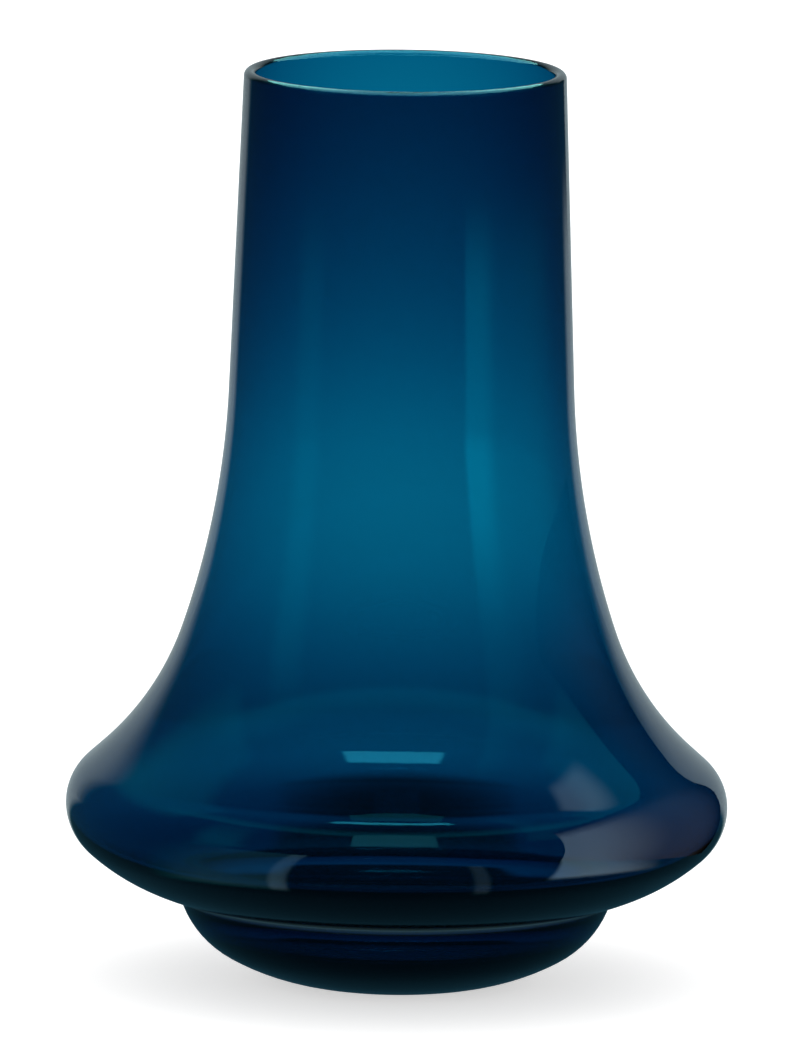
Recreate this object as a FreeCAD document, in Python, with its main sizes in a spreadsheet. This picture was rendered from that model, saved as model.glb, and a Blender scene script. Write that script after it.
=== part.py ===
import FreeCAD, Part
import math
import os
import Sketcher

# Blown glass vase: a bell-shaped body with a tall neck, hot-joined to a thick shallow foot.
# Driving sizes in millimetres and degrees. Angles of the wall are those of its outward normal,
# measured up or down from level.
SIZES = (
    ("total_height", 240.0, "bearing ring to top of lip"),
    ("rim_radius", 42.1, "outside of the lip"),
    ("neck_taper", 2.1, "degrees that the neck leans in towards the lip"),
    ("neck_sweep_radius", 225.0, "long concave sweep under the neck"),
    ("flare_clearance", 6.15, "gap between the line of the neck and the flare's full round"),
    ("shoulder_slope", 48.2, "degrees of tilt where the flare meets the belly"),
    ("shoulder_run", 5.0, "straight run between flare and belly round"),
    ("belly_radius", 86.6, "widest outside radius"),
    ("belly_height", 46.3, "height of the widest ring"),
    ("belly_top_round", 14.5, "convex round above the widest ring"),
    ("belly_low_round", 15.6, "convex round below the widest ring"),
    ("underside_radius", 52.9, "convex sweep from belly to crease"),
    ("crease_round", 2.0, "concave fillet that runs from the underside down to the hot joint"),
    ("crease_radius", 56.4, "outside of the hot joint"),
    ("crease_height", 21.2, "height of the hot joint"),
    ("lip_wall", 3.2, "wall at the fire-polished lip"),
    ("neck_wall", 1.85, "wall at the bottom of the straight neck"),
    ("flare_wall", 1.9, "wall between neck sweep and flare"),
    ("belly_wall", 2.3, "wall at the belly"),
    ("underside_wall", 3.0, "wall where the underside begins"),
    ("joint_wall", 4.5, "wall over the hot joint"),
    ("throat_round", 2.0, "round on the inner edge of the hot joint"),
    ("joint_slope", 17.8, "degrees of downward tilt of the wall at the joint"),
    ("foot_side_radius", 25.3, "convex side of the foot"),
    ("foot_base_radius", 60.6, "flatter convex base of the foot"),
    ("foot_wall", 4.9, "wall of the foot"),
    ("bearing_outer_radius", 25.4, "outer edge of the ground bearing ring"),
    ("bearing_width", 4.2, "width of the ground bearing ring"),
    ("kick_height", 3.0, "rise of the hollow under the foot"),
    ("floor_height", 9.0, "lowest point inside the vase"),
)
VALUE = {name: number for name, number, note in SIZES}
VOLUME_TOLERANCE = 1e-6
FULL_TURN = 360.0
RIGHT_ANGLE = 90.0
FIRST, LAST, CENTRE = range(1, 4)
HORIZONTAL_AXIS, VERTICAL_AXIS = range(-1, -3, -1)
ORIGIN = HORIZONTAL_AXIS

doc = FreeCAD.newDocument("blown_vase")
sheet = doc.addObject("Spreadsheet::Sheet", "Sizes")
for row, (name, number, note) in enumerate(SIZES, start=1):
    sheet.set(f"A{row}", name)
    sheet.set(f"B{row}", str(number))
    sheet.setAlias(f"B{row}", name)
    sheet.set(f"C{row}", note)
doc.recompute()


def point(radius, height):
    return FreeCAD.Vector(radius, height, 0)


def spoke(degrees):
    """Unit vector in the section, measured from level outward, positive upward."""
    angle = math.radians(degrees)
    return point(math.cos(angle), math.sin(angle))


def slope_of(vector):
    return math.degrees(math.atan2(vector.y, vector.x))


def circles_meet(first, first_radius, second, second_radius, side):
    """Where two circles cross; side +1 takes the crossing left of the way from first to second."""
    way = second - first
    span = way.Length
    along = (first_radius ** 2 - second_radius ** 2 + span ** 2) / (2 * span)
    across = math.sqrt(first_radius ** 2 - along ** 2)
    unit = way * (1 / span)
    return first + unit * along + point(-unit.y, unit.x) * (side * across)


def arc_centre(start, towards_centre, end):
    """Centre of the arc that leaves start square to towards_centre and ends at end."""
    chord = end - start
    return start + towards_centre * (chord.dot(chord) / (2 * chord.dot(towards_centre)))


class Outline:
    """A half section in the XZ plane, drawn piece by piece; every joint and size is a constraint."""

    def __init__(self, body, name):
        self.sketch = body.newObject("Sketcher::SketchObject", name)
        planes = {plane.Role: plane for plane in body.Origin.OriginFeatures}
        self.sketch.AttachmentSupport = [(planes["XZ_Plane"], "")]
        self.sketch.MapMode = "FlatFace"
        self.ends = {}

    def line(self, start, end, construction=False):
        index = self.sketch.addGeometry(Part.LineSegment(start, end), construction)
        self.ends[index] = (FIRST, LAST)
        return index

    def arc(self, centre, start, end, anticlockwise):
        """Arc from start to end; the sketch stores every arc anticlockwise, so a clockwise one swaps ends."""
        low, high = (start, end) if anticlockwise else (end, start)
        low_angle = math.radians(slope_of(low - centre))
        high_angle = math.radians(slope_of(high - centre))
        if high_angle < low_angle:
            high_angle += 2 * math.pi
        circle = Part.Circle(centre, point(0, 0) + FreeCAD.Vector(0, 0, 1), (start - centre).Length)
        index = self.sketch.addGeometry(Part.ArcOfCircle(circle, low_angle, high_angle), False)
        self.ends[index] = (FIRST, LAST) if anticlockwise else (LAST, FIRST)
        return index

    def start(self, index):
        return index, self.ends[index][0]

    def end(self, index):
        return index, self.ends[index][1]

    def rule(self, kind, *places):
        """Adds a constraint without a size."""
        self.sketch.addConstraint(Sketcher.Constraint(kind, *places))

    def size(self, kind, *places, value, formula):
        """Adds a constraint whose size is bound to the sheet."""
        index = self.sketch.addConstraint(Sketcher.Constraint(kind, *places, value))
        self.sketch.setExpression(f"Constraints[{index}]", formula)

    def smooth(self, first, second):
        self.rule("Tangent", *self.end(first), *self.start(second))

    def meet(self, first, second):
        self.rule("Coincident", *self.end(first), *self.start(second))

    def place(self, place, where, radius_formula, height_formula):
        """Sets a point's distance from the axis and from the ground."""
        self.size("DistanceX", ORIGIN, FIRST, *place, value=where.x, formula=radius_formula)
        self.size("DistanceY", ORIGIN, FIRST, *place, value=where.y, formula=height_formula)

    def wall(self, outer_place, outer_point, inner_place, inner_point, centre_place, formula):
        """Measures the wall on a construction line square to the outer arc with that centre."""
        gauge = self.line(outer_point, inner_point, construction=True)
        self.rule("Coincident", *outer_place, gauge, FIRST)
        self.rule("Coincident", *inner_place, gauge, LAST)
        self.rule("PointOnObject", *centre_place, gauge)
        thickness = (inner_point - outer_point).Length
        self.size("Distance", gauge, value=thickness, formula=formula)

    def tilt_at_joint(self, inner, outer, inner_place, outer_place, v):
        """Tilts the spoke between two places, so that the wall runs on smoothly through the joint."""
        gauge = self.line(inner, outer, construction=True)
        self.rule("Coincident", *inner_place, gauge, FIRST)
        self.rule("Coincident", *outer_place, gauge, LAST)
        self.size("Angle", gauge, value=math.radians(-v["joint_slope"]),
                  formula="-Sizes.joint_slope")


def revolve(body, outline, name):
    """Turns a finished outline once round the vertical axis."""
    turned = body.newObject("PartDesign::Revolution", name)
    turned.Profile = outline.sketch
    turned.ReferenceAxis = (outline.sketch, ["V_Axis"])
    turned.Angle = FULL_TURN
    body.Tip = turned
    outline.sketch.Visibility = False
    return turned


def build_body(v):
    """Neck, flare and belly, open at the mouth and at the throat where the foot joins."""
    body = doc.addObject("PartDesign::Body", "vase_body")
    body.Label = "vase_body"
    outline = Outline(body, "body_section")

    # Outside of the lip and of the straight neck.
    lip_round = v["lip_wall"] / 2
    lip = point(v["rim_radius"] - lip_round, v["total_height"] - lip_round)
    neck_normal = spoke(v["neck_taper"])
    lip_outer = lip + neck_normal * lip_round

    # Belly rounds about the widest ring, and the flare above them.
    widest = point(v["belly_radius"], v["belly_height"])
    top_centre = widest - point(v["belly_top_round"], 0)
    low_centre = widest - point(v["belly_low_round"], 0)
    shoulder = spoke(v["shoulder_slope"])
    along_shoulder = spoke(v["shoulder_slope"] + RIGHT_ANGLE)
    belly_top = top_centre + shoulder * v["belly_top_round"]
    flare_low = belly_top + along_shoulder * v["shoulder_run"]
    flare_reach = (flare_low - lip_outer).dot(neck_normal) - v["flare_clearance"]
    flare_radius = flare_reach / (1 - shoulder.dot(neck_normal))
    flare_centre = flare_low + shoulder * flare_radius

    # The neck sweep touches the flare and the straight neck.
    centre_gap = v["neck_sweep_radius"] - flare_radius
    sweep_turn = math.degrees(math.acos(1 - v["flare_clearance"] / centre_gap))
    flare_normal = spoke(v["neck_taper"] + sweep_turn)
    sweep_centre = flare_centre + flare_normal * centre_gap
    flare_top = flare_centre - flare_normal * flare_radius
    neck_low = sweep_centre - neck_normal * v["neck_sweep_radius"]

    # The underside touches the low belly round and the fillet, which ends at the joint.
    crease = point(v["crease_radius"], v["crease_height"])
    fillet_centre = crease + spoke(-v["joint_slope"]) * v["crease_round"]
    under_centre = circles_meet(fillet_centre, v["underside_radius"] + v["crease_round"], low_centre,
                                v["underside_radius"] - v["belly_low_round"], +1)
    under_low = fillet_centre + (under_centre - fillet_centre).normalize() * v["crease_round"]
    belly_low = low_centre + (low_centre - under_centre).normalize() * v["belly_low_round"]

    # Inside, from the belly up: each arc leaves the last one smoothly and ends on a measured wall.
    inner_widest = widest - point(v["belly_wall"], 0)
    inner_belly_top = belly_top - shoulder * v["belly_wall"]
    inner_flare_low = flare_low - shoulder * v["belly_wall"]
    inner_flare_top = flare_top - flare_normal * v["flare_wall"]
    inner_neck_low = neck_low - neck_normal * v["neck_wall"]
    inner_flare_centre = arc_centre(inner_flare_low, shoulder, inner_flare_top)
    towards = (inner_flare_centre - inner_flare_top).normalize()
    inner_sweep_centre = arc_centre(inner_flare_top, towards, inner_neck_low)
    to_lip = lip - inner_neck_low
    lean = math.degrees(math.asin(lip_round / to_lip.Length))
    inner_neck_way = spoke(slope_of(to_lip) + lean)
    lip_inner = inner_neck_low + inner_neck_way * math.sqrt(to_lip.Length ** 2 - lip_round ** 2)

    # Inside, from the belly down to the throat.
    under_normal = (belly_low - low_centre).normalize()
    inner_belly_low = belly_low - under_normal * v["underside_wall"]
    inner_low_centre = arc_centre(inner_widest, point(-1, 0), inner_belly_low)
    towards = (inner_low_centre - inner_belly_low).normalize()
    over_joint = under_low - (under_low - under_centre).normalize() * v["joint_wall"]
    inner_under_centre = arc_centre(inner_belly_low, towards, over_joint)
    inner_under_radius = (over_joint - inner_under_centre).Length
    throat_radius = v["crease_radius"] - v["foot_wall"]
    round_across = throat_radius + v["throat_round"] - inner_under_centre.x
    round_reach = inner_under_radius + v["throat_round"]
    round_drop = math.sqrt(round_reach ** 2 - round_across ** 2)
    round_centre = point(throat_radius + v["throat_round"], inner_under_centre.y - round_drop)
    round_way = (inner_under_centre - round_centre).normalize()
    round_outer = round_centre + round_way * v["throat_round"]
    round_inner = round_centre - point(v["throat_round"], 0)
    throat_low = point(throat_radius, v["crease_height"])

    # The section, once round from the crease.
    fillet = outline.arc(fillet_centre, crease, under_low, False)
    under = outline.arc(under_centre, under_low, belly_low, True)
    low_belly = outline.arc(low_centre, belly_low, widest, True)
    top_belly = outline.arc(top_centre, widest, belly_top, True)
    shoulder_line = outline.line(belly_top, flare_low)
    flare = outline.arc(flare_centre, flare_low, flare_top, False)
    sweep = outline.arc(sweep_centre, flare_top, neck_low, False)
    neck = outline.line(neck_low, lip_outer)
    lip_arc = outline.arc(lip, lip_outer, lip_inner, True)
    inner_neck = outline.line(lip_inner, inner_neck_low)
    inner_sweep = outline.arc(inner_sweep_centre, inner_neck_low, inner_flare_top, True)
    inner_flare = outline.arc(inner_flare_centre, inner_flare_top, inner_flare_low, True)
    inner_shoulder = outline.line(inner_flare_low, inner_belly_top)
    inner_top = outline.arc(top_centre, inner_belly_top, inner_widest, False)
    inner_low = outline.arc(inner_low_centre, inner_widest, inner_belly_low, False)
    inner_under = outline.arc(inner_under_centre, inner_belly_low, round_outer, False)
    throat_arc = outline.arc(round_centre, round_outer, round_inner, True)
    throat = outline.line(round_inner, throat_low)
    joint = outline.line(throat_low, crease)

    # Joints between neighbours.
    for first, second in ((fillet, under), (under, low_belly), (low_belly, top_belly),
                          (top_belly, shoulder_line), (shoulder_line, flare), (flare, sweep),
                          (sweep, neck), (neck, lip_arc), (lip_arc, inner_neck),
                          (inner_sweep, inner_flare), (inner_flare, inner_shoulder),
                          (inner_shoulder, inner_top), (inner_top, inner_low),
                          (inner_low, inner_under), (inner_under, throat_arc),
                          (throat_arc, throat)):
        outline.smooth(first, second)
    outline.meet(inner_neck, inner_sweep)
    outline.meet(throat, joint)
    outline.meet(joint, fillet)

    # Sizes of the outside.
    outline.place(outline.start(top_belly), widest, "Sizes.belly_radius", "Sizes.belly_height")
    outline.rule("Horizontal", top_belly, CENTRE, *outline.start(top_belly))
    for index, name in ((top_belly, "belly_top_round"), (low_belly, "belly_low_round"),
                        (under, "underside_radius"), (fillet, "crease_round"),
                        (sweep, "neck_sweep_radius"), (throat_arc, "throat_round")):
        outline.size("Radius", index, value=v[name], formula=f"Sizes.{name}")
    outline.size("Distance", shoulder_line, value=v["shoulder_run"],
                 formula="Sizes.shoulder_run")
    outline.size("Angle", shoulder_line, value=math.radians(RIGHT_ANGLE + v["shoulder_slope"]),
                 formula="90 + Sizes.shoulder_slope")
    outline.size("Angle", neck, value=math.radians(RIGHT_ANGLE + v["neck_taper"]),
                 formula="90 + Sizes.neck_taper")
    nearest = flare_centre - neck_normal * flare_radius
    clearance = outline.line(nearest - neck_normal * v["flare_clearance"], nearest, construction=True)
    outline.rule("PointOnObject", clearance, FIRST, neck)
    outline.rule("Perpendicular", clearance, neck)
    outline.rule("PointOnObject", flare, CENTRE, clearance)
    outline.rule("PointOnObject", clearance, LAST, flare)
    outline.size("Distance", clearance, value=v["flare_clearance"], formula="Sizes.flare_clearance")
    outline.size("Radius", lip_arc, value=lip_round, formula="Sizes.lip_wall / 2")
    outline.place((lip_arc, CENTRE), lip, "Sizes.rim_radius - Sizes.lip_wall / 2",
                  "Sizes.total_height - Sizes.lip_wall / 2")
    outline.place(outline.start(fillet), crease, "Sizes.crease_radius", "Sizes.crease_height")
    outline.tilt_at_joint(crease, fillet_centre, outline.start(fillet), (fillet, CENTRE), v)

    # Walls, and the throat that matches the foot's mouth.
    outline.rule("Coincident", inner_top, CENTRE, top_belly, CENTRE)
    outline.rule("Horizontal", inner_top, CENTRE, *outline.end(inner_top))
    outline.size("Radius", inner_top, value=v["belly_top_round"] - v["belly_wall"],
                 formula="Sizes.belly_top_round - Sizes.belly_wall")
    outline.size("Distance", inner_shoulder, value=v["shoulder_run"],
                 formula="Sizes.shoulder_run")
    outline.rule("Parallel", inner_shoulder, shoulder_line)
    outline.wall(outline.end(flare), flare_top, outline.start(inner_flare), inner_flare_top,
                 (flare, CENTRE), "Sizes.flare_wall")
    outline.wall(outline.start(neck), neck_low, outline.end(inner_neck), inner_neck_low,
                 (sweep, CENTRE), "Sizes.neck_wall")
    outline.wall(outline.start(low_belly), belly_low, outline.end(inner_low), inner_belly_low,
                 (low_belly, CENTRE), "Sizes.underside_wall")
    gauge = outline.line(under_low, over_joint, construction=True)
    outline.rule("Coincident", *outline.start(under), gauge, FIRST)
    outline.rule("PointOnObject", under, CENTRE, gauge)
    outline.rule("PointOnObject", gauge, LAST, inner_under)
    outline.size("Distance", gauge, value=v["joint_wall"], formula="Sizes.joint_wall")
    outline.rule("Vertical", throat)
    outline.place(outline.start(joint), throat_low, "Sizes.crease_radius - Sizes.foot_wall",
                  "Sizes.crease_height")
    revolve(body, outline, "body_turn")
    return body, outline


def build_foot(v):
    """Thick shallow bowl with a ground bearing ring and a hollow under it."""
    foot = doc.addObject("PartDesign::Body", "foot")
    foot.Label = "foot"
    outline = Outline(foot, "foot_section")

    # Outside, from the crease down to the bearing ring.
    crease = point(v["crease_radius"], v["crease_height"])
    top_normal = spoke(-v["joint_slope"])
    side_centre = crease - top_normal * v["foot_side_radius"]
    bearing_outer = point(v["bearing_outer_radius"], 0)
    base_centre = circles_meet(side_centre, v["foot_base_radius"] - v["foot_side_radius"],
                               bearing_outer, v["foot_base_radius"], -1)
    side_normal = (side_centre - base_centre).normalize()
    side_low = side_centre + side_normal * v["foot_side_radius"]

    # Underside: flat bearing ring, then a shallow dome that ends level on the axis.
    bearing_inner = bearing_outer - point(v["bearing_width"], 0)
    kick_top = point(0, v["kick_height"])
    kick_centre = arc_centre(kick_top, point(0, -1), bearing_inner)

    # Inside: a floor that is level on the axis, then a side that ends at the throat.
    floor = point(0, v["floor_height"])
    inner_side_low = side_low - side_normal * v["foot_wall"]
    floor_centre = arc_centre(floor, point(0, 1), inner_side_low)
    throat = crease - point(v["foot_wall"], 0)
    towards = (floor_centre - inner_side_low).normalize()
    inner_side_centre = arc_centre(inner_side_low, towards, throat)

    # The section, once round from the axis.
    kick = outline.arc(kick_centre, kick_top, bearing_inner, False)
    bearing = outline.line(bearing_inner, bearing_outer)
    base = outline.arc(base_centre, bearing_outer, side_low, True)
    side = outline.arc(side_centre, side_low, crease, True)
    joint = outline.line(crease, throat)
    inner_side = outline.arc(inner_side_centre, throat, inner_side_low, False)
    floor_arc = outline.arc(floor_centre, inner_side_low, floor, False)
    axis = outline.line(floor, kick_top)

    for first, second in ((kick, bearing), (bearing, base), (side, joint), (joint, inner_side),
                          (floor_arc, axis), (axis, kick)):
        outline.meet(first, second)
    outline.smooth(base, side)
    outline.smooth(inner_side, floor_arc)

    # Sizes.
    outline.place(outline.end(side), crease, "Sizes.crease_radius", "Sizes.crease_height")
    outline.size("Radius", side, value=v["foot_side_radius"], formula="Sizes.foot_side_radius")
    outline.size("Radius", base, value=v["foot_base_radius"], formula="Sizes.foot_base_radius")
    outline.tilt_at_joint(side_centre, crease, (side, CENTRE), outline.end(side), v)
    outline.rule("PointOnObject", *outline.end(bearing), HORIZONTAL_AXIS)
    outline.size("DistanceX", ORIGIN, FIRST, *outline.end(bearing),
                 value=bearing_outer.x, formula="Sizes.bearing_outer_radius")
    outline.rule("Horizontal", bearing)
    outline.size("Distance", bearing, value=v["bearing_width"], formula="Sizes.bearing_width")
    outline.place(outline.start(kick), kick_top, "0", "Sizes.kick_height")
    outline.rule("PointOnObject", kick, CENTRE, VERTICAL_AXIS)
    outline.size("DistanceY", ORIGIN, FIRST, *outline.start(axis),
                 value=floor.y, formula="Sizes.floor_height")
    outline.rule("Vertical", axis)
    outline.rule("PointOnObject", floor_arc, CENTRE, VERTICAL_AXIS)
    outline.rule("Horizontal", joint)
    outline.size("Distance", joint, value=v["foot_wall"], formula="Sizes.foot_wall")
    outline.wall(outline.start(side), side_low, outline.end(inner_side), inner_side_low,
                 (side, CENTRE), "Sizes.foot_wall")
    revolve(foot, outline, "foot_turn")
    return foot, outline


pieces = (build_body(VALUE), build_foot(VALUE))
doc.recompute()

for obj in doc.Objects:
    bad = [state for state in obj.State if state in ("Invalid", "Error")]
    if bad:
        raise RuntimeError(f"{obj.Label} failed: {bad}")
for piece, outline in pieces:
    shape = piece.Shape
    if shape.isNull() or not shape.isValid():
        raise RuntimeError(f"{piece.Label} has no valid shape")
    if not outline.sketch.FullyConstrained:
        raise RuntimeError(f"{outline.sketch.Label} is not fully constrained")
    if shape.Volume < VOLUME_TOLERANCE or len(shape.Solids) != 1:
        raise RuntimeError(f"{piece.Label} is not one solid")
    box = shape.optimalBoundingBox()
    print(piece.Label, "volume", round(shape.Volume), "width", round(box.XLength, 3),
          "height", round(box.ZMin, 3), round(box.ZMax, 3))

os.makedirs("parts", exist_ok=True)
for piece, outline in pieces:
    piece.Shape.exportStep(f"parts/{piece.Label}.step")
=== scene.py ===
"""Blown glass vase: clear petrol-blue body on a thick foot, with its studio.

Every piece is a surface of revolution worked out from the sizes in the panel. The section is a
chain of straight lines and tangent arcs in the plane (radius, height), in metres.
"""
import functools
import math
import bpy
import numpy as np
from bpy.props import FloatProperty, FloatVectorProperty, IntProperty, PointerProperty
from mathutils import Matrix, Vector


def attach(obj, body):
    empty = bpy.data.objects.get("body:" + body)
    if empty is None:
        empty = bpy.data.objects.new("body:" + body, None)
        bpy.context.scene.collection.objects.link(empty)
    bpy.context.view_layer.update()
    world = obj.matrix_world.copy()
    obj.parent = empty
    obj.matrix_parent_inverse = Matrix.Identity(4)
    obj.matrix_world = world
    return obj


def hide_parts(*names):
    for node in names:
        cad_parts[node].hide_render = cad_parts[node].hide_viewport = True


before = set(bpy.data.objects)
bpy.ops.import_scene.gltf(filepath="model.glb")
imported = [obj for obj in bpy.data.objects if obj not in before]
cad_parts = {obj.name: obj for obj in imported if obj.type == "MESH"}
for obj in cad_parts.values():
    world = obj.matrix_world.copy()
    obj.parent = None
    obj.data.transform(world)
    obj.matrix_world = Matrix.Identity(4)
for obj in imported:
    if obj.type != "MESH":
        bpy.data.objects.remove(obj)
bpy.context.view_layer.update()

bl_info = {
    "name": "Blown glass vase",
    "version": (1, 0, 0),
    "blender": (4, 5, 0),
    "location": "3D View > Sidebar > Vase",
    "description": "Makes a bell-shaped blown glass vase on a small foot, and the studio around it",
    "category": "Add Mesh",
}

BODY = "root"

# Painted highlight along the fused joint, an emitted glow standing in for the crease's reflection:
# its colour, and its middle's height above the joint in metres.
SEAM_PAINTED_HIGHLIGHT = (0.013, 0.028, 0.032)
SEAM_RISE = 0.0018
# The painted highlight line shows only outside this depth in the crease.
SEAM_DEPTH = 0.003  # how far inside the crease the line may still show
RING_SCUFF = 0.0009  # how high the ground ring's scuffed edge wanders, in metres

# The surround as the glass mirrors it. Azimuths are in degrees from the front (-Y) towards +X,
# elevations in degrees above level. A pair is where an edge begins and ends to fade.
ROOM = (0.012, 0.05, 0.075)  # dim colour between the panels
STREAK_EDGE = (41, 45)  # inner edge of the upright panels on the right
STREAK_END = (54, 68)
STREAK_LIGHT = 1.3
BROAD_END = (90, 125)
BROAD_LIGHT = 0.4
PANEL_TOP = (2, 22)
LEFT_START = (-78, -68)  # narrow upright panel on the left
LEFT_END = (-61, -51)
LEFT_LIGHT = 0.45
WALL_LIGHT = 0.42  # pale wall behind the vase, which its edges mirror
NEAR_FLOOR = (0.45, 0.6)  # distance on the floor where what is near the vase ends, in metres


def length(name, description, millimetres):
    return FloatProperty(name=name, description=description, default=millimetres / 1000, min=0.0,
                         unit="LENGTH", subtype="DISTANCE", precision=5)


def tilt(name, description, degrees):
    return FloatProperty(name=name, description=description, default=math.radians(degrees),
                         unit="ROTATION", subtype="ANGLE")


def tint(name, description, colour):
    return FloatVectorProperty(name=name, description=description, default=colour, size=3, min=0.0,
                               max=1.0, subtype="COLOR")


class VaseSizes(bpy.types.PropertyGroup):
    """Sizes of the two glass pieces."""
    total_height: length("Height", "Bearing ring to top of lip", 240.0)
    rim_radius: length("Rim radius", "Outside of the lip", 42.1)
    neck_taper: tilt("Neck taper", "Lean of the neck towards the lip", 2.1)
    neck_sweep_radius: length("Neck sweep", "Long concave sweep under the neck", 225.0)
    flare_clearance: length("Flare clearance", "Gap between the neck's line and the flare's round",
                            6.15)
    shoulder_slope: tilt("Shoulder slope", "Tilt where the flare meets the belly", 48.2)
    shoulder_run: length("Shoulder run", "Straight run between flare and belly round", 5.0)
    belly_radius: length("Belly radius", "Widest outside radius", 86.6)
    belly_height: length("Belly height", "Height of the widest ring", 46.3)
    belly_top_round: length("Belly top round", "Round above the widest ring", 14.5)
    belly_low_round: length("Belly low round", "Round below the widest ring", 15.6)
    underside_radius: length("Underside sweep", "Convex sweep from belly to crease", 52.9)
    crease_round: length("Crease round", "Concave fillet from the underside to the hot joint", 2.0)
    crease_radius: length("Crease radius", "Outside of the hot joint", 56.4)
    crease_height: length("Crease height", "Height of the hot joint", 21.2)
    lip_wall: length("Lip wall", "Wall at the fire-polished lip", 3.2)
    neck_wall: length("Neck wall", "Wall at the bottom of the straight neck", 1.85)
    flare_wall: length("Flare wall", "Wall between neck sweep and flare", 1.9)
    belly_wall: length("Belly wall", "Wall at the belly", 2.3)
    underside_wall: length("Underside wall", "Wall where the underside begins", 3.0)
    joint_wall: length("Joint wall", "Wall over the hot joint", 4.5)
    throat_round: length("Throat round", "Round on the inner edge of the hot joint", 2.0)
    joint_slope: tilt("Joint slope", "Downward tilt of the wall at the joint", 17.8)
    foot_side_radius: length("Foot side", "Convex side of the foot", 25.3)
    foot_base_radius: length("Foot base", "Flatter convex base of the foot", 60.6)
    foot_wall: length("Foot wall", "Wall of the foot", 4.9)
    bearing_outer_radius: length("Bearing radius", "Outer edge of the ground bearing ring", 25.4)
    bearing_width: length("Bearing width", "Width of the ground bearing ring", 4.2)
    kick_height: length("Kick height", "Rise of the hollow under the foot", 3.0)
    floor_height: length("Floor height", "Lowest point inside the vase", 9.0)
    joint_gap: length("Joint gap", "Hair gap that keeps the two fused pieces apart", 0.02)
    turns: IntProperty(name="Facets round", description="Facets once round the axis",
                       default=256, min=32)
    longest_facet: length("Longest facet", "Longest facet along the section", 2.6)
    widest_bend: tilt("Widest bend", "Most that the section turns from facet to facet", 5.0)


class GlassLook(bpy.types.PropertyGroup):
    """Colour of the glass, the marks of its making, and the painted highlight along its joint."""
    absorbed_left: tint("Glass colour", "Share of light kept by the glass, by the density below",
                        (0.042, 0.717, 0.806))
    density: FloatProperty(name="Colour density", description="Depth of the colour per metre",
                           default=2400.0, min=0.0)
    sheen_tint: tint("Reflection tint", "Tint of straight-on reflections", (0.4, 0.72, 1.0))
    ior: FloatProperty(name="Refraction", description="Index of refraction of soda glass",
                       default=1.5)
    wave_depth: length("Wave depth", "Depth of the blowing waves", 0.012)
    wave_length: length("Wave length", "Distance between blowing waves", 34.0)
    # Width of the painted highlight line along the joint.
    seam_highlight_width: length("Seam highlight width", "Reach of the soft line above and below its middle", 2.2)
    ground_roughness: FloatProperty(name="Ground ring roughness", default=0.45,
                                    description="Roughness of the ground bearing ring")


class StudioLook(bpy.types.PropertyGroup):
    """Floor, lamps and camera."""
    floor_colour: tint("Floor", "Colour of the floor", (0.8, 0.8, 0.8))
    floor_reach: FloatProperty(name="Floor reach", description="Radius of the floor", default=9.0,
                               unit="LENGTH", subtype="DISTANCE")
    # The floor's dark round and behind the foot, seen through the glass and in reflections, is
    # painted shadow; only the camera sees the floor's rendered shadow.
    shadow_pool_through: FloatVectorProperty(
        name="Painted shadow through glass", size=2, default=(0.045, 0.075), unit="LENGTH",
        description="Where the dark round the foot begins and stops to fade, through the glass")
    shadow_width: length("Shadow width", "Dark strip behind the foot, through the glass", 66.0)
    # Radius of the painted shadow round the foot in the mirrored floor.
    shadow_pool_mirrored: FloatVectorProperty(
        name="Painted shadow in reflections", size=2, default=(0.082, 0.094), unit="LENGTH",
        description="Where the dark round the foot begins and stops to fade, in reflections")
    camera_distance: FloatProperty(name="Camera distance", description="From the vase's middle",
                                   default=5.977, unit="LENGTH", subtype="DISTANCE")
    camera_rise: tilt("Camera rise", "Height of the camera above level", 9.0)
    camera_roll: tilt("Camera roll", "Turn of the picture", 0.69)
    camera_lens: FloatProperty(name="Lens", description="Focal length on a 36 mm sensor",
                               default=784.4)


# ---------------------------------------------------------------- section

def spoke(angle):
    """Unit vector in the section, measured from level outward, positive upward."""
    return np.array((math.cos(angle), math.sin(angle)))


def unit(vector):
    return vector / np.linalg.norm(vector)


def circles_meet(first, first_radius, second, second_radius, side):
    """Where two circles cross; side +1 takes the crossing left of the way from first to second."""
    way = second - first
    span = np.linalg.norm(way)
    along = (first_radius ** 2 - second_radius ** 2 + span ** 2) / (2 * span)
    across = math.sqrt(first_radius ** 2 - along ** 2)
    across_way = np.array((-way[1], way[0])) / span
    return first + way / span * along + across_way * (side * across)


def arc_centre(start, towards_centre, end):
    """Centre of the arc that leaves start square to towards_centre and ends at end."""
    chord = end - start
    return start + towards_centre * (chord @ chord / (2 * chord @ towards_centre))


class Section:
    """Points along the section, added run by run, each without its last point."""

    def __init__(self, sizes):
        self.step = sizes.longest_facet
        self.bend = sizes.widest_bend
        self.runs = []

    def line(self, start, end, step=None):
        """Evenly spaced points from start to end."""
        count = max(1, math.ceil(np.linalg.norm(end - start) / (step or self.step)))
        share = np.arange(count)[:, None] / count
        self.runs.append(start + (end - start) * share)

    def arc(self, centre, start, end, way):
        """Points at even angles about centre, anticlockwise for way +1 and clockwise for -1."""
        radius = np.linalg.norm(start - centre)
        first, last = (math.atan2(*(p - centre)[::-1]) for p in (start, end))
        turn = (way * (last - first)) % (2 * math.pi) * way
        count = max(2, math.ceil(abs(turn) / self.bend), math.ceil(abs(turn) * radius / self.step))
        angles = first + turn * np.arange(count) / count
        self.runs.append(centre + radius * np.stack((np.cos(angles), np.sin(angles)), axis=1))

    def mark(self):
        """Number of the point that the next run starts with."""
        return sum(len(run) for run in self.runs)

    def points(self, last=None):
        runs = self.runs + ([last[None]] if last is not None else [])
        return np.concatenate(runs)


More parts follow.
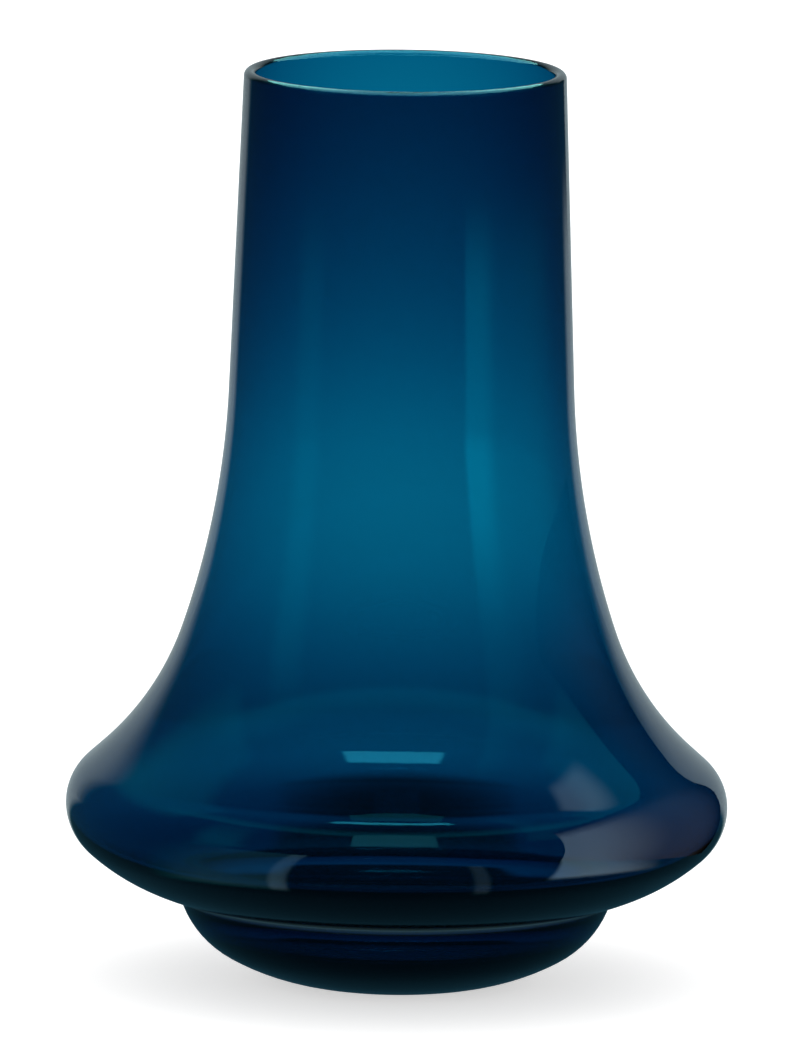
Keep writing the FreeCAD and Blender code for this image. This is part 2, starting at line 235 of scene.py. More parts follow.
def body_section(s):
    """Closed section of neck, flare and belly, once round from the crease, and its sharp points."""
    lip_round = s.lip_wall / 2
    lip = np.array((s.rim_radius - lip_round, s.total_height - lip_round))
    neck_normal = spoke(s.neck_taper)
    lip_outer = lip + neck_normal * lip_round
    widest = np.array((s.belly_radius, s.belly_height))
    top_centre = widest - (s.belly_top_round, 0)
    low_centre = widest - (s.belly_low_round, 0)
    shoulder = spoke(s.shoulder_slope)
    along_shoulder = spoke(s.shoulder_slope + math.pi / 2)
    belly_top = top_centre + shoulder * s.belly_top_round
    flare_low = belly_top + along_shoulder * s.shoulder_run
    flare_radius = (((flare_low - lip_outer) @ neck_normal - s.flare_clearance)
                    / (1 - shoulder @ neck_normal))
    flare_centre = flare_low + shoulder * flare_radius
    centre_gap = s.neck_sweep_radius - flare_radius
    flare_normal = spoke(s.neck_taper + math.acos(1 - s.flare_clearance / centre_gap))
    sweep_centre = flare_centre + flare_normal * centre_gap
    flare_top = flare_centre - flare_normal * flare_radius
    neck_low = sweep_centre - neck_normal * s.neck_sweep_radius
    crease = np.array((s.crease_radius, s.crease_height + s.joint_gap / 2))
    fillet_centre = crease + spoke(-s.joint_slope) * s.crease_round
    under_centre = circles_meet(fillet_centre, s.underside_radius + s.crease_round, low_centre,
                                s.underside_radius - s.belly_low_round, +1)
    under_low = fillet_centre + unit(under_centre - fillet_centre) * s.crease_round
    belly_low = low_centre + unit(low_centre - under_centre) * s.belly_low_round

    inner_widest = widest - (s.belly_wall, 0)
    inner_belly_top = belly_top - shoulder * s.belly_wall
    inner_flare_low = flare_low - shoulder * s.belly_wall
    inner_flare_top = flare_top - flare_normal * s.flare_wall
    inner_neck_low = neck_low - neck_normal * s.neck_wall
    inner_flare_centre = arc_centre(inner_flare_low, shoulder, inner_flare_top)
    inner_sweep_centre = arc_centre(inner_flare_top, unit(inner_flare_centre - inner_flare_top),
                                    inner_neck_low)
    to_lip = lip - inner_neck_low
    reach = np.linalg.norm(to_lip)
    inner_neck_way = spoke(math.atan2(to_lip[1], to_lip[0]) + math.asin(lip_round / reach))
    lip_inner = inner_neck_low + inner_neck_way * math.sqrt(reach ** 2 - lip_round ** 2)
    inner_belly_low = belly_low - unit(belly_low - low_centre) * s.underside_wall
    inner_low_centre = arc_centre(inner_widest, np.array((-1.0, 0.0)), inner_belly_low)
    over_joint = under_low - unit(under_low - under_centre) * s.joint_wall
    inner_under_centre = arc_centre(inner_belly_low, unit(inner_low_centre - inner_belly_low),
                                    over_joint)
    inner_under_radius = np.linalg.norm(over_joint - inner_under_centre)
    throat_radius = s.crease_radius - s.foot_wall
    round_across = throat_radius + s.throat_round - inner_under_centre[0]
    round_drop = math.sqrt((inner_under_radius + s.throat_round) ** 2 - round_across ** 2)
    round_centre = np.array((throat_radius + s.throat_round, inner_under_centre[1] - round_drop))
    round_outer = round_centre + unit(inner_under_centre - round_centre) * s.throat_round
    round_inner = round_centre - (s.throat_round, 0)
    throat_low = np.array((throat_radius, crease[1]))

    section = Section(s)
    section.arc(fillet_centre, crease, under_low, -1)
    section.arc(under_centre, under_low, belly_low, +1)
    section.arc(low_centre, belly_low, widest, +1)
    section.arc(top_centre, widest, belly_top, +1)
    section.line(belly_top, flare_low)
    section.arc(flare_centre, flare_low, flare_top, -1)
    section.arc(sweep_centre, flare_top, neck_low, -1)
    section.line(neck_low, lip_outer, 2 * s.longest_facet)
    section.arc(lip, lip_outer, lip_inner, +1)
    section.line(lip_inner, inner_neck_low, 2 * s.longest_facet)
    section.arc(inner_sweep_centre, inner_neck_low, inner_flare_top, +1)
    section.arc(inner_flare_centre, inner_flare_top, inner_flare_low, +1)
    section.line(inner_flare_low, inner_belly_top)
    section.arc(top_centre, inner_belly_top, inner_widest, -1)
    section.arc(inner_low_centre, inner_widest, inner_belly_low, -1)
    section.arc(inner_under_centre, inner_belly_low, round_outer, -1)
    section.arc(round_centre, round_outer, round_inner, +1)
    section.line(round_inner, throat_low)
    sharp = [0, section.mark()]
    section.line(throat_low, crease)
    return section.points(), sharp


def foot_section(s):
    """Section of the foot from the middle of the kick out, up and in to the middle of the floor."""
    crease = np.array((s.crease_radius, s.crease_height - s.joint_gap / 2))
    top_normal = spoke(-s.joint_slope)
    side_centre = crease - top_normal * s.foot_side_radius
    bearing_outer = np.array((s.bearing_outer_radius, 0.0))
    base_centre = circles_meet(side_centre, s.foot_base_radius - s.foot_side_radius,
                               bearing_outer, s.foot_base_radius, -1)
    side_normal = unit(side_centre - base_centre)
    side_low = side_centre + side_normal * s.foot_side_radius
    bearing_inner = bearing_outer - (s.bearing_width, 0)
    kick_top = np.array((0.0, s.kick_height))
    kick_centre = arc_centre(kick_top, np.array((0.0, -1.0)), bearing_inner)
    floor = np.array((0.0, s.floor_height))
    inner_side_low = side_low - side_normal * s.foot_wall
    floor_centre = arc_centre(floor, np.array((0.0, 1.0)), inner_side_low)
    throat = crease - (s.foot_wall, 0)
    inner_side_centre = arc_centre(inner_side_low, unit(floor_centre - inner_side_low), throat)

    section = Section(s)
    section.arc(kick_centre, kick_top, bearing_inner, -1)
    sharp = [section.mark()]
    section.line(bearing_inner, bearing_outer, s.bearing_width / 2)
    sharp.append(section.mark())
    section.arc(base_centre, bearing_outer, side_low, +1)
    section.arc(side_centre, side_low, crease, +1)
    sharp.append(section.mark())
    section.line(crease, throat)
    sharp.append(section.mark())
    section.arc(inner_side_centre, throat, inner_side_low, -1)
    section.arc(floor_centre, inner_side_low, floor, -1)
    return section.points(floor), sharp


def turned(name, points, turns, sharp, closed):
    """Surface (r cos a, r sin a, h) of a section (r, h) for a from 0 to a full turn.

    A closed section joins its last ring to its first. An open one starts and ends on the axis,
    where one vertex stands for the whole ring.
    """
    count = len(points)
    angle = np.arange(turns) * (2 * math.pi / turns)
    radius, height = points[:, 0], points[:, 1]
    grid = np.stack((np.outer(radius, np.cos(angle)), np.outer(radius, np.sin(angle)),
                     np.outer(height, np.ones(turns))), axis=2)
    rings = np.arange(count * turns).reshape(count, turns)
    here, there = (rings, np.roll(rings, -1, axis=0)) if closed else (rings[:-1], rings[1:])
    quads = np.stack((here, np.roll(here, -1, axis=1), np.roll(there, -1, axis=1), there), axis=2)
    vertices = grid.reshape(-1, 3)
    ring_of = np.repeat(np.arange(count), turns)
    if closed:
        faces = quads.reshape(-1, 4).tolist()
    else:
        first = quads[0][:, [0, 2, 3]]
        first[:, 0] = rings[0, 0]
        final = quads[-1][:, [0, 1, 2]]
        final[:, 2] = rings[-1, 0]
        faces = first.tolist() + quads[1:-1].reshape(-1, 4).tolist() + final.tolist()
        kept = np.ones(count * turns, dtype=bool)
        kept[rings[0, 1:]] = False
        kept[rings[-1, 1:]] = False
        renumbered = np.cumsum(kept) - 1
        faces = [[int(renumbered[corner]) for corner in face] for face in faces]
        ring_of, vertices = ring_of[kept], vertices[kept]
    mesh = bpy.data.meshes.new(name)
    mesh.from_pydata(vertices, [], faces)
    mesh.shade_smooth()
    ends = np.empty(len(mesh.edges) * 2, dtype=np.int32)
    mesh.edges.foreach_get("vertices", ends)
    ends = ring_of[ends.reshape(-1, 2)]
    edge_sharp = (ends[:, 0] == ends[:, 1]) & np.isin(ends[:, 0], sharp)
    mesh.attributes.new("sharp_edge", "BOOLEAN", "EDGE").data.foreach_set("value", edge_sharp)
    mesh.validate()
    piece = bpy.data.objects.new(name, mesh)
    bpy.context.scene.collection.objects.link(piece)
    return piece


# ---------------------------------------------------------------- nodes

def add(tree, kind, **values):
    """New node with its plain values; names of inputs are written with _ for a space."""
    node = tree.nodes.new(kind)
    for key, value in values.items():
        if hasattr(node, key):
            setattr(node, key, value)
        else:
            node.inputs[key.replace("_", " ")].default_value = value
    return node


def number(tree, operation, *inputs, clamp=False):
    """Math node whose inputs are sockets or plain numbers."""
    node = tree.nodes.new("ShaderNodeMath")
    node.operation = operation
    node.use_clamp = clamp
    for socket, value in zip(node.inputs, inputs):
        if isinstance(value, (int, float)):
            socket.default_value = value
        else:
            tree.links.new(value, socket)
    return node.outputs[0]


def product(tree, *values):
    return functools.reduce(lambda first, second: number(tree, "MULTIPLY", first, second), values)


def total(tree, *values):
    return functools.reduce(lambda first, second: number(tree, "ADD", first, second), values)


def rise(tree, value, low, high):
    """0 below low, 1 above high and a smooth step between."""
    node = add(tree, "ShaderNodeMapRange", interpolation_type="SMOOTHSTEP", From_Min=low,
               From_Max=high)
    tree.links.new(value, node.inputs["Value"])
    return node.outputs["Result"]


def fall(tree, value, low, high):
    """1 below low, 0 above high and a smooth step between."""
    return number(tree, "SUBTRACT", 1.0, rise(tree, value, low, high))


def panel(tree, across, along, light=1.0, start=None, end=None, low=None, high=None):
    """Light from start to end across and from low to high along, and 0 outside.

    Each edge is a pair, where its fade begins and ends. An edge that isn't given is open.
    """
    edges = ((rise, across, start), (fall, across, end), (rise, along, low), (fall, along, high))
    fades = [step(tree, value, *edge) for step, value, edge in edges if edge is not None]
    return product(tree, *fades, light)


def coordinates(tree, kind="Object"):
    """A point's place as one socket, and its coordinates as sockets by axis."""
    place = tree.nodes.new("ShaderNodeTexCoord").outputs[kind]
    axes = tree.nodes.new("ShaderNodeSeparateXYZ")
    tree.links.new(place, axes.inputs[0])
    return place, axes.outputs


def from_axis(tree, axes):
    """Distance from the vase's axis."""
    squares = [number(tree, "POWER", axes[axis], 2.0) for axis in "XY"]
    return number(tree, "SQRT", number(tree, "ADD", *squares))


def compass(tree, axes):
    """Azimuth of a vector in degrees, 0 at the front (-Y), growing towards +X."""
    front = number(tree, "MULTIPLY", axes["Y"], -1.0)
    return number(tree, "DEGREES", number(tree, "ARCTAN2", axes["X"], front))


def blown_marks_and_seam_highlight():
    """Shader group: waves left by blowing, the ground ring, the fused joint between pieces, and a
    painted highlight glowing along that joint.
    """
    group = bpy.data.node_groups.get("Blown glass marks and seam highlight")
    if group:
        return group
    group = bpy.data.node_groups.new("Blown glass marks and seam highlight", "ShaderNodeTree")
    face = group.interface
    for label, default in (("Wave Length", 0.03), ("Joint Height", 0.0), ("Joint Gap", 0.0),
                           ("Ring Roughness", 0.4), ("Seam Radius", 0.0), ("Seam Highlight Width", 0.0)):
        socket = face.new_socket(label, in_out="INPUT", socket_type="NodeSocketFloat")
        socket.default_value = default
    for label in ("Height", "Roughness", "Shown"):
        face.new_socket(label, in_out="OUTPUT", socket_type="NodeSocketFloat")
    face.new_socket("Seam Painted Highlight", in_out="OUTPUT", socket_type="NodeSocketColor")
    inside = group.nodes.new("NodeGroupInput")
    outside = group.nodes.new("NodeGroupOutput")
    place, axes = coordinates(group)

    # Waves: slow round the axis, closer together upwards, as the turning pipe leaves them.
    pace = number(group, "DIVIDE", 1.0, inside.outputs["Wave Length"])
    squash = group.nodes.new("ShaderNodeMapping")
    squash.inputs["Scale"].default_value = (0.5, 0.5, 1.6)
    group.links.new(place, squash.inputs["Vector"])
    waves = add(group, "ShaderNodeTexNoise", Detail=1.5, Roughness=0.4)
    group.links.new(squash.outputs[0], waves.inputs["Vector"])
    group.links.new(pace, waves.inputs["Scale"])
    group.links.new(waves.outputs["Fac"], outside.inputs["Height"])

    # The ring that the vase stands on is ground matt, with a scuffed edge.
    scuffs = add(group, "ShaderNodeTexNoise", Scale=900.0, Detail=3.0)
    group.links.new(place, scuffs.inputs["Vector"])
    edge = number(group, "MULTIPLY_ADD", scuffs.outputs["Fac"], RING_SCUFF, -RING_SCUFF / 6)
    low = number(group, "LESS_THAN", axes["Z"], edge)
    grain = number(group, "MULTIPLY_ADD", scuffs.outputs["Fac"], 0.5, 0.75)
    rough = number(group, "MULTIPLY", inside.outputs["Ring Roughness"], grain)
    ground = number(group, "MULTIPLY", low, rough)

    # Outside, along the fused joint, a soft line of painted highlight: emitted light standing in
    # for the crease's reflection.
    outer = number(group, "GREATER_THAN", from_axis(group, axes), inside.outputs["Seam Radius"])
    middle = number(group, "ADD", inside.outputs["Joint Height"], SEAM_RISE)
    off = number(group, "ABSOLUTE", number(group, "SUBTRACT", axes["Z"], middle))
    share = number(group, "DIVIDE", off, inside.outputs["Seam Highlight Width"])
    near = number(group, "SUBTRACT", 1.0, share, clamp=True)
    seam = number(group, "MULTIPLY", rise(group, near, 0.0, 1.0), outer)
    light = group.nodes.new("ShaderNodeCombineXYZ")
    for axis, value in zip("XYZ", SEAM_PAINTED_HIGHLIGHT):
        group.links.new(number(group, "MULTIPLY", seam, value), light.inputs[axis])
    group.links.new(light.outputs[0], outside.inputs["Seam Painted Highlight"])
    group.links.new(ground, outside.inputs["Roughness"])

    # The joint is fused, so its faces don't show.
    joint = number(group, "COMPARE", axes["Z"], inside.outputs["Joint Height"],
                   inside.outputs["Joint Gap"])
    group.links.new(number(group, "SUBTRACT", 1.0, joint), outside.inputs["Shown"])
    return group


def glass(name, sizes, look):
    """Clear coloured glass: colour from absorption along the way through it."""
    material = bpy.data.materials.new(name)
    material.use_nodes = True
    tree = material.node_tree
    shader = tree.nodes["Principled BSDF"]
    values = {"Base Color": (1.0, 1.0, 1.0, 1.0), "Metallic": 0.0, "IOR": look.ior,
              "Transmission Weight": 1.0, "Emission Strength": 1.0,
              "Specular Tint": (*look.sheen_tint, 1.0)}
    for key, value in values.items():
        shader.inputs[key].default_value = value
    marks = tree.nodes.new("ShaderNodeGroup")
    marks.node_tree = blown_marks_and_seam_highlight()
    marks.inputs["Wave Length"].default_value = look.wave_length
    marks.inputs["Joint Height"].default_value = sizes.crease_height
    marks.inputs["Joint Gap"].default_value = sizes.joint_gap
    marks.inputs["Ring Roughness"].default_value = look.ground_roughness
    marks.inputs["Seam Radius"].default_value = sizes.crease_radius - SEAM_DEPTH
    marks.inputs["Seam Highlight Width"].default_value = look.seam_highlight_width
    bump = add(tree, "ShaderNodeBump", Strength=1.0, Distance=look.wave_depth)
    tree.links.new(marks.outputs["Height"], bump.inputs["Height"])
    tree.links.new(bump.outputs["Normal"], shader.inputs["Normal"])
    tree.links.new(marks.outputs["Roughness"], shader.inputs["Roughness"])
    tree.links.new(marks.outputs["Shown"], shader.inputs["Alpha"])
    # Emission carries the painted highlight along the joint; nothing else in the glass glows.
    tree.links.new(marks.outputs["Seam Painted Highlight"], shader.inputs["Emission Color"])
    volume = add(tree, "ShaderNodeVolumeAbsorption", Color=(*look.absorbed_left, 1.0),
                 Density=look.density)
    tree.links.new(volume.outputs[0], tree.nodes["Material Output"].inputs["Volume"])
    return material


# ---------------------------------------------------------------- operators

class VASE_OT_body(bpy.types.Operator):
    """Make the neck, flare and belly as one blown wall"""
    bl_idname = "vase.body"
    bl_label = "Body"

    def execute(self, context):
        sizes, look = context.scene.vase_sizes, context.scene.vase_glass
        points, sharp = body_section(sizes)
        piece = turned("blown_body", points, sizes.turns, sharp, closed=True)
        piece.data.materials.append(glass("Body glass", sizes, look))
        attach(piece, BODY)
        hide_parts("vase_body")
        return {"FINISHED"}


class VASE_OT_foot(bpy.types.Operator):
    """Make the thick foot with its ground ring and kick"""
    bl_idname = "vase.foot"
    bl_label = "Foot"

    def execute(self, context):
        sizes, look = context.scene.vase_sizes, context.scene.vase_glass
        points, sharp = foot_section(sizes)
        piece = turned("blown_foot", points, sizes.turns, sharp, closed=False)
        piece.data.materials.append(glass("Foot glass", sizes, look))
        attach(piece, BODY)
        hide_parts("foot")
        return {"FINISHED"}


def aimed(thing, place, target, roll=0.0):
    """Turns a lamp or camera at place towards target."""
    way = (Vector(target) - Vector(place)).to_track_quat("-Z", "Y")
    turn = way.to_matrix().to_4x4() @ Matrix.Rotation(roll, 4, "Z")
    thing.matrix_world = Matrix.Translation(place) @ turn


def direction(azimuth, elevation):
    """Unit vector; azimuth from the front (-Y) towards +X, both in degrees."""
    a, e = math.radians(azimuth), math.radians(elevation)
    return Vector((math.sin(a) * math.cos(e), -math.cos(a) * math.cos(e), math.sin(e)))


def lamp(name, azimuth, elevation, width, height, distance, radiance, target=(0.0, 0.0, 0.12)):
    """Flat soft lamp; width and height in degrees as seen from the vase."""
    across = 2 * distance * math.tan(math.radians(width) / 2)
    tall = 2 * distance * math.tan(math.radians(height) / 2)
    data = bpy.data.lights.new(name, "AREA")
    data.shape = "RECTANGLE"
    data.size, data.size_y = across, tall
    data.energy = radiance * math.pi * across * tall
    thing = bpy.data.objects.new(name, data)
    bpy.context.scene.collection.objects.link(thing)
    aimed(thing, Vector(target) + direction(azimuth, elevation) * distance, target)
    thing.visible_camera = False
    return thing


def mirrored_card(name, vertices, faces, colour, strength):
    """Glowing card that nothing but reflections shows; gives its node tree, glow and output."""
    mesh = bpy.data.meshes.new(name)
    mesh.from_pydata(vertices, [], faces)
    card = bpy.data.objects.new(name, mesh)
    bpy.context.scene.collection.objects.link(card)
    for kind in ("camera", "diffuse", "transmission", "volume_scatter", "shadow"):
        setattr(card, "visible_" + kind, False)
    material = bpy.data.materials.new(name)
    material.use_nodes = True
    tree = material.node_tree
    tree.nodes.clear()
    glow = add(tree, "ShaderNodeEmission", Color=(*colour, 1.0), Strength=strength)
    out = tree.nodes.new("ShaderNodeOutputMaterial")
    tree.links.new(glow.outputs[0], out.inputs["Surface"])
    mesh.materials.append(material)
    return tree, glow, out


def upright(first, second, low, high):
    """Corners of an upright card over the floor line from first to second."""
    return ((*first, low), (*second, low), (*second, high), (*first, high))


def bounce_card(name, corners, colour, strength, faded=False):
    """Card with four corners; a faded one dims from its first corner backwards, and at its top."""
    tree, glow, _ = mirrored_card(name, corners, [(0, 1, 2, 3)], colour, strength)
    if faded:
        _, axes = coordinates(tree)
        behind = number(tree, "SUBTRACT", axes["Y"], corners[0][1])
        light = total(tree, product(tree, fall(tree, behind, 0.03, 0.12), 0.88),
                      product(tree, fall(tree, behind, 0.08, 0.2), 0.12))
        top = fall(tree, axes["Z"], 0.09, 0.13)
        tree.links.new(product(tree, light, top, strength), glow.inputs["Strength"])


def ring_card(name, low, high, start, end, colour, strength, fade=None):
    """Card (r sin a, -r cos a, z) for azimuths a from start to end, between two rings (r, z).

    With fade it is clear below the first height and whole above the second.
    """
    steps = 48
    azimuth = np.radians(np.linspace(start, end, steps + 1))
    rows = [np.column_stack((radius * np.sin(azimuth), -radius * np.cos(azimuth),
                             np.full(steps + 1, height))) for radius, height in (low, high)]
    step = np.arange(steps)
    quads = np.column_stack((step, step + 1, step + steps + 2, step + steps + 1))
    tree, glow, out = mirrored_card(name, np.vstack(rows).tolist(), quads.tolist(), colour,
                                    strength)
    if fade:
        _, axes = coordinates(tree)
        blend = tree.nodes.new("ShaderNodeMixShader")
        clear = tree.nodes.new("ShaderNodeBsdfTransparent")
        tree.links.new(rise(tree, axes["Z"], *fade), blend.inputs[0])
        tree.links.new(clear.outputs[0], blend.inputs[1])
        tree.links.new(glow.outputs[0], blend.inputs[2])
        tree.links.new(blend.outputs[0], out.inputs["Surface"])


def mirrored(tree, path):
    """1 for a ray that left the outside of the glass as a reflection."""
    through = number(tree, "SUBTRACT", 1.0, path.outputs["Is Transmission Ray"])
    return number(tree, "MULTIPLY", path.outputs["Is Glossy Ray"], through)


def tinted(tree, cool, white):
    """Mirrored colour of a dim blue room with cool and white panels of these brightnesses.

    Red starts only with a white that is not faint, so that dim panels stay blue.
    """
    red = number(tree, "MAXIMUM", total(tree, product(tree, white, 0.95), -0.03), 0.0)
    colour = tree.nodes.new("ShaderNodeCombineXYZ")
    tree.links.new(total(tree, red, ROOM[0]), colour.inputs["X"])
    tree.links.new(total(tree, product(tree, cool, 0.92), white, ROOM[1]), colour.inputs["Y"])
    tree.links.new(total(tree, cool, white, ROOM[2]), colour.inputs["Z"])
    return colour.outputs[0]


def bent(tree, elevation, sides, start, amount):
    """Elevation plus amount times the square of the degrees past start, to bend a level band."""
    past = number(tree, "MAXIMUM", number(tree, "SUBTRACT", sides, start), 0.0)
    return number(tree, "MULTIPLY_ADD", number(tree, "POWER", past, 2.0), amount, elevation)


def panels(tree, azimuth, elevation):
    """Mirrored colour of the pale panels round the vase, by direction in degrees."""
    sides = number(tree, "ABSOLUTE", azimuth)
    leaning = number(tree, "MULTIPLY_ADD", elevation, -0.25, azimuth)
    streak = panel(tree, azimuth, elevation, STREAK_LIGHT, end=STREAK_END, high=PANEL_TOP)
    streak_top = panel(tree, azimuth, elevation, 0.2, end=(58, 80), high=(62, 70))
    broad = panel(tree, azimuth, elevation, BROAD_LIGHT, end=BROAD_END, high=PANEL_TOP)
    right = product(tree, rise(tree, leaning, *STREAK_EDGE), total(tree, streak, streak_top, broad))
    left = panel(tree, azimuth, elevation, LEFT_LIGHT, start=LEFT_START, end=LEFT_END, high=(8, 50))
    wings = panel(tree, sides, elevation, 0.25, start=(88, 96), end=(144, 152), low=(22, 34),
                  high=(50, 56))

    # A faint arc across the flare, which drops at the sides, and under it the short bar.
    arc_height = bent(tree, elevation, sides, start=70.0, amount=0.004)
    arc = panel(tree, sides, arc_height, 0.45, end=(80, 120), low=(35.5, 39.5), high=(40, 51))
    bar_height = bent(tree, elevation, sides, start=0.0, amount=0.0015)
    bar = panel(tree, azimuth, bar_height, 3.4, start=(-40.5, -35.5), end=(30.5, 35.5),
                low=(63.5, 64.5), high=(68.5, 69.5))
    cool = total(tree, right, left, wings, arc, bar)

    wall = panel(tree, sides, elevation, WALL_LIGHT, start=(138, 156), high=(20, 45))
    patch = panel(tree, azimuth, elevation, start=(103, 113), end=(126, 136), low=(43, 51),
                  high=(56.5, 59.5))
    return tinted(tree, cool, total(tree, wall, patch, product(tree, bar, 0.12)))


def floor_mirrored(tree, axes, radius, studio):
    """Mirrored colour of the floor: the panels' foot far out, pale patches near the vase, and
    painted shadow round the foot where none of them reach.
    """
    azimuth = compass(tree, axes)
    streak = panel(tree, azimuth, radius, STREAK_LIGHT, end=STREAK_END)
    broad = panel(tree, azimuth, radius, BROAD_LIGHT, end=BROAD_END)
    right = product(tree, rise(tree, azimuth, *STREAK_EDGE), total(tree, streak, broad))
    left = panel(tree, azimuth, radius, LEFT_LIGHT, start=LEFT_START, end=LEFT_END)
    brighter_outwards = number(tree, "MULTIPLY_ADD", rise(tree, radius, 2.6, 6.0), 0.4, 0.6)
    far = product(tree, total(tree, right, left), rise(tree, radius, *NEAR_FLOOR),
                  brighter_outwards)
    # Nothing near the vase glows inside the painted shadow round the foot.
    near = {"low": studio.shadow_pool_mirrored, "high": NEAR_FLOOR}
    wing = panel(tree, azimuth, radius, start=(-80, -45), end=(-31, -27), **near)
    cool = total(tree, far, product(tree, wing, 0.22))

    # Pale patch on the right, behind a slanting line in front of the vase.
    slant = total(tree, product(tree, axes["X"], 0.534), product(tree, axes["Y"], 0.846))
    patch = product(tree, rise(tree, slant, -0.036, -0.030),
                    panel(tree, azimuth, radius, 2.2, start=(18, 22), end=(50, 86),
                          low=(0.106, 0.118), high=NEAR_FLOOR))
    # A thin line on each side of the painted shade under the belly.
    left_line = panel(tree, azimuth, radius, 0.6, start=(-34, -32), end=(-29, -27), **near)
    right_line = panel(tree, azimuth, radius, 0.35, start=(19, 21), end=(23, 25), **near)
    wall = panel(tree, number(tree, "ABSOLUTE", azimuth), radius, WALL_LIGHT, start=(140, 150),
                 low=studio.shadow_pool_mirrored)
    white = total(tree, patch, left_line, right_line, wall, product(tree, wing, 0.15))
    return tinted(tree, cool, white)


def sky():
    """Pale surround: white to the eye, dimmer upwards through the glass, and panels in mirrors."""
    world = bpy.data.worlds.new("Studio")
    bpy.context.scene.world = world
    world.use_nodes = True
    tree = world.node_tree
    tree.nodes.clear()
    _, axes = coordinates(tree, "Generated")
    elevation = number(tree, "DEGREES", number(tree, "ARCSINE", axes["Z"]))
    path = tree.nodes.new("ShaderNodeLightPath")
    ceiling = product(tree, rise(tree, elevation, 0, 80), path.outputs["Is Transmission Ray"], 0.5)
    seen = number(tree, "SUBTRACT", 1.0, ceiling)
    colour = add(tree, "ShaderNodeMix", data_type="RGBA")
    tree.links.new(mirrored(tree, path), colour.inputs["Factor"])
    tree.links.new(seen, colour.inputs["A"])
    tree.links.new(panels(tree, compass(tree, axes), elevation), colour.inputs["B"])
    surround = tree.nodes.new("ShaderNodeBackground")
    tree.links.new(colour.outputs["Result"], surround.inputs["Color"])
    out = tree.nodes.new("ShaderNodeOutputWorld")
    tree.links.new(surround.outputs[0], out.inputs["Surface"])


def paper(studio):
    """Pale floor with a soft rendered shadow; through the glass it shows a painted shadow round and
    behind the foot instead, and in reflections the panels' pattern, dark round the foot as painted
    shadow.
    """
    material = bpy.data.materials.new("Pale floor")
    material.use_nodes = True
    tree = material.node_tree
    shader = tree.nodes["Principled BSDF"]
    shader.inputs["Roughness"].default_value = 0.9
    shader.inputs["Specular IOR Level"].default_value = 0.1
    place, axes = coordinates(tree)
    grain = add(tree, "ShaderNodeTexNoise", Scale=14.0, Detail=4.0)
    tree.links.new(place, grain.inputs["Vector"])
    tone = add(tree, "ShaderNodeMix", data_type="RGBA")
    tone.inputs["A"].default_value = (*(c * 0.985 for c in studio.floor_colour), 1.0)
    tone.inputs["B"].default_value = (*studio.floor_colour, 1.0)
    tree.links.new(grain.outputs["Fac"], tone.inputs["Factor"])
    tree.links.new(tone.outputs["Result"], shader.inputs["Base Color"])
    path = tree.nodes.new("ShaderNodeLightPath")
    shader.inputs["Emission Strength"].default_value = 0.58
    tree.links.new(path.outputs["Is Camera Ray"], shader.inputs["Emission Color"])

    # Seen through the glass: white, with a painted shadow pool under the foot, and behind it a
    # narrow painted shadow strip with a rounded far end.
    radius = from_axis(tree, axes)
    half = studio.shadow_width / 2
    aside = number(tree, "ABSOLUTE", axes["X"])
    rounded = number(tree, "MULTIPLY_ADD", number(tree, "POWER", aside, 2.0), 40.0, axes["Y"])
    shadow = product(tree, fall(tree, aside, half - 0.004, half + 0.003),
                     rise(tree, axes["Y"], 0.03, 0.05), fall(tree, rounded, 0.175, 0.25))
    through = product(tree, rise(tree, radius, *studio.shadow_pool_through),
                      number(tree, "SUBTRACT", 1.0, shadow))
    side = floor_mirrored(tree, axes, radius, studio)
    last = shader.outputs[0]
    for mask, colour in ((path.outputs["Is Transmission Ray"], through),
                         (mirrored(tree, path), side)):
        plain = tree.nodes.new("ShaderNodeEmission")
        tree.links.new(colour, plain.inputs["Color"])
        mix = tree.nodes.new("ShaderNodeMixShader")
        tree.links.new(mask, mix.inputs["Fac"])
        tree.links.new(last, mix.inputs[1])
        tree.links.new(plain.outputs[0], mix.inputs[2])
        last = mix.outputs[0]
    tree.links.new(last, tree.nodes["Material Output"].inputs["Surface"])
    return material


def cards():
    """Cards close by, each for the reflections on one part of the vase."""
    # The belly faces these, and the flare doesn't mirror them.
    corner = (0.156, -0.138)
    bounce_card("right_card", upright(corner, (0.121, 0.059), low=0.0, high=0.13),
                colour=(1.0, 0.85, 0.8), strength=2.4, faded=True)
    bounce_card("dark_card", upright((0.05, -0.2), corner, low=0.0, high=0.095),
                colour=(0.1, 0.4, 1.0), strength=0.1)
    bounce_card("front_strip", upright((-0.026, -0.135), (0.024, -0.135), low=0.065, high=0.097),
                colour=(0.2, 1.0, 1.0), strength=1.0)
    half, front, back = 0.017, -0.092, -0.0835
    level = [(x, y, 0.085) for x, y in ((-half, front), (half, front), (half, back), (-half, back))]
    bounce_card("belly_strip", level, colour=(0.1, 1.0, 1.0), strength=0.5)
    # The neck's streaks fade out under the lip, and a light over the mouth draws the lip's line.
    ring_card("neck_screen", low=(0.1, 0.17), high=(0.1, 0.252), start=-85, end=132, colour=ROOM,
              strength=1.0, fade=(0.18, 0.212))
    ring_card("lip_light", low=(0.022, 0.268), high=(0.06, 0.268), start=-180, end=180,
              colour=(0.4, 1.2, 1.1), strength=3.2)


def front_camera(studio):
    """Camera in front of the vase and a little above it, far off as for a long lens."""
    middle = Vector((0.0, 0.0, 0.1202))
    eye = middle + direction(0.0, math.degrees(studio.camera_rise)) * studio.camera_distance
    data = bpy.data.cameras.new("Camera")
    data.lens = studio.camera_lens
    data.sensor_width = 36.0
    data.clip_end = 100.0
    camera = bpy.data.objects.new("Camera", data)
    bpy.context.scene.collection.objects.link(camera)
    aimed(camera, eye, middle, studio.camera_roll)
    return camera


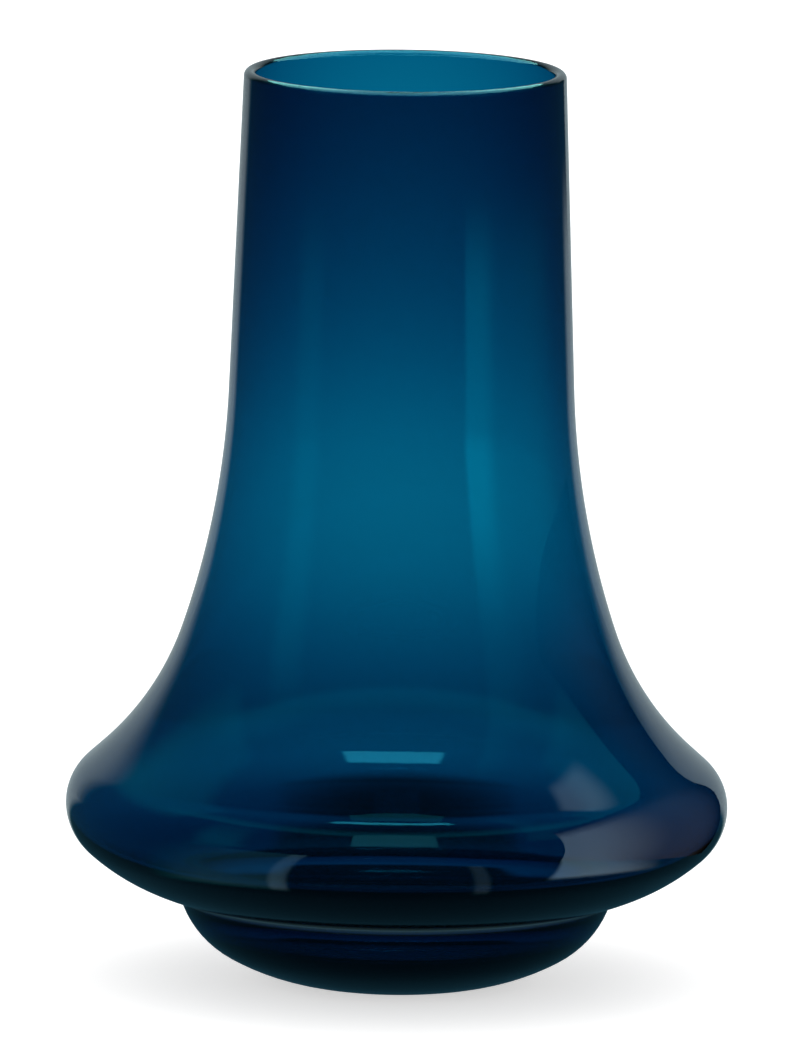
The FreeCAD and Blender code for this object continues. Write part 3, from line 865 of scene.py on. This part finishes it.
class VASE_OT_studio(bpy.types.Operator):
    """Make the floor, the lamps, the pale surround and the camera"""
    bl_idname = "vase.studio"
    bl_label = "Studio"

    def execute(self, context):
        studio = context.scene.vase_studio
        reach = studio.floor_reach
        mesh = bpy.data.meshes.new("floor")
        under_vase = -0.00005  # a hair below the ground ring
        corners = [(x * reach, y * reach, under_vase)
                   for x, y in ((-1, -1), (1, -1), (1, 1), (-1, 1))]
        mesh.from_pydata(corners, [], [(0, 1, 2, 3)])
        floor = bpy.data.objects.new("floor", mesh)
        context.scene.collection.objects.link(floor)
        mesh.materials.append(paper(studio))
        sky()
        overhead = lamp("Overhead softbox", azimuth=0, elevation=84, width=10, height=10,
                        distance=2.5, radiance=1.0)
        overhead.visible_glossy = False
        cards()
        context.scene.camera = front_camera(studio)
        context.scene.view_settings.view_transform = "Standard"
        return {"FINISHED"}


class VASE_PT_panel(bpy.types.Panel):
    """Lists the pieces of the vase, and their sizes and colours"""
    bl_idname = "VASE_PT_panel"
    bl_label = "Blown vase"
    bl_space_type = "VIEW_3D"
    bl_region_type = "UI"
    bl_category = "Vase"

    def draw(self, context):
        for kind in OPERATORS:
            self.layout.operator(kind.bl_idname)
        scene = context.scene
        for title, group in (("Sizes", scene.vase_sizes), ("Glass", scene.vase_glass),
                             ("Studio", scene.vase_studio)):
            box = self.layout.box()
            box.label(text=title)
            for key in group.__annotations__:
                box.prop(group, key)


OPERATORS = (VASE_OT_body, VASE_OT_foot, VASE_OT_studio)
CLASSES = (VaseSizes, GlassLook, StudioLook, *OPERATORS, VASE_PT_panel)


def register():
    for kind in CLASSES:
        bpy.utils.register_class(kind)
    bpy.types.Scene.vase_sizes = PointerProperty(type=VaseSizes)
    bpy.types.Scene.vase_glass = PointerProperty(type=GlassLook)
    bpy.types.Scene.vase_studio = PointerProperty(type=StudioLook)


def unregister():
    del bpy.types.Scene.vase_studio
    del bpy.types.Scene.vase_glass
    del bpy.types.Scene.vase_sizes
    for kind in reversed(CLASSES):
        bpy.utils.unregister_class(kind)


def main():
    register()
    bpy.ops.vase.studio()
    bpy.ops.vase.body()
    bpy.ops.vase.foot()


if __name__ == "__main__":
    main()
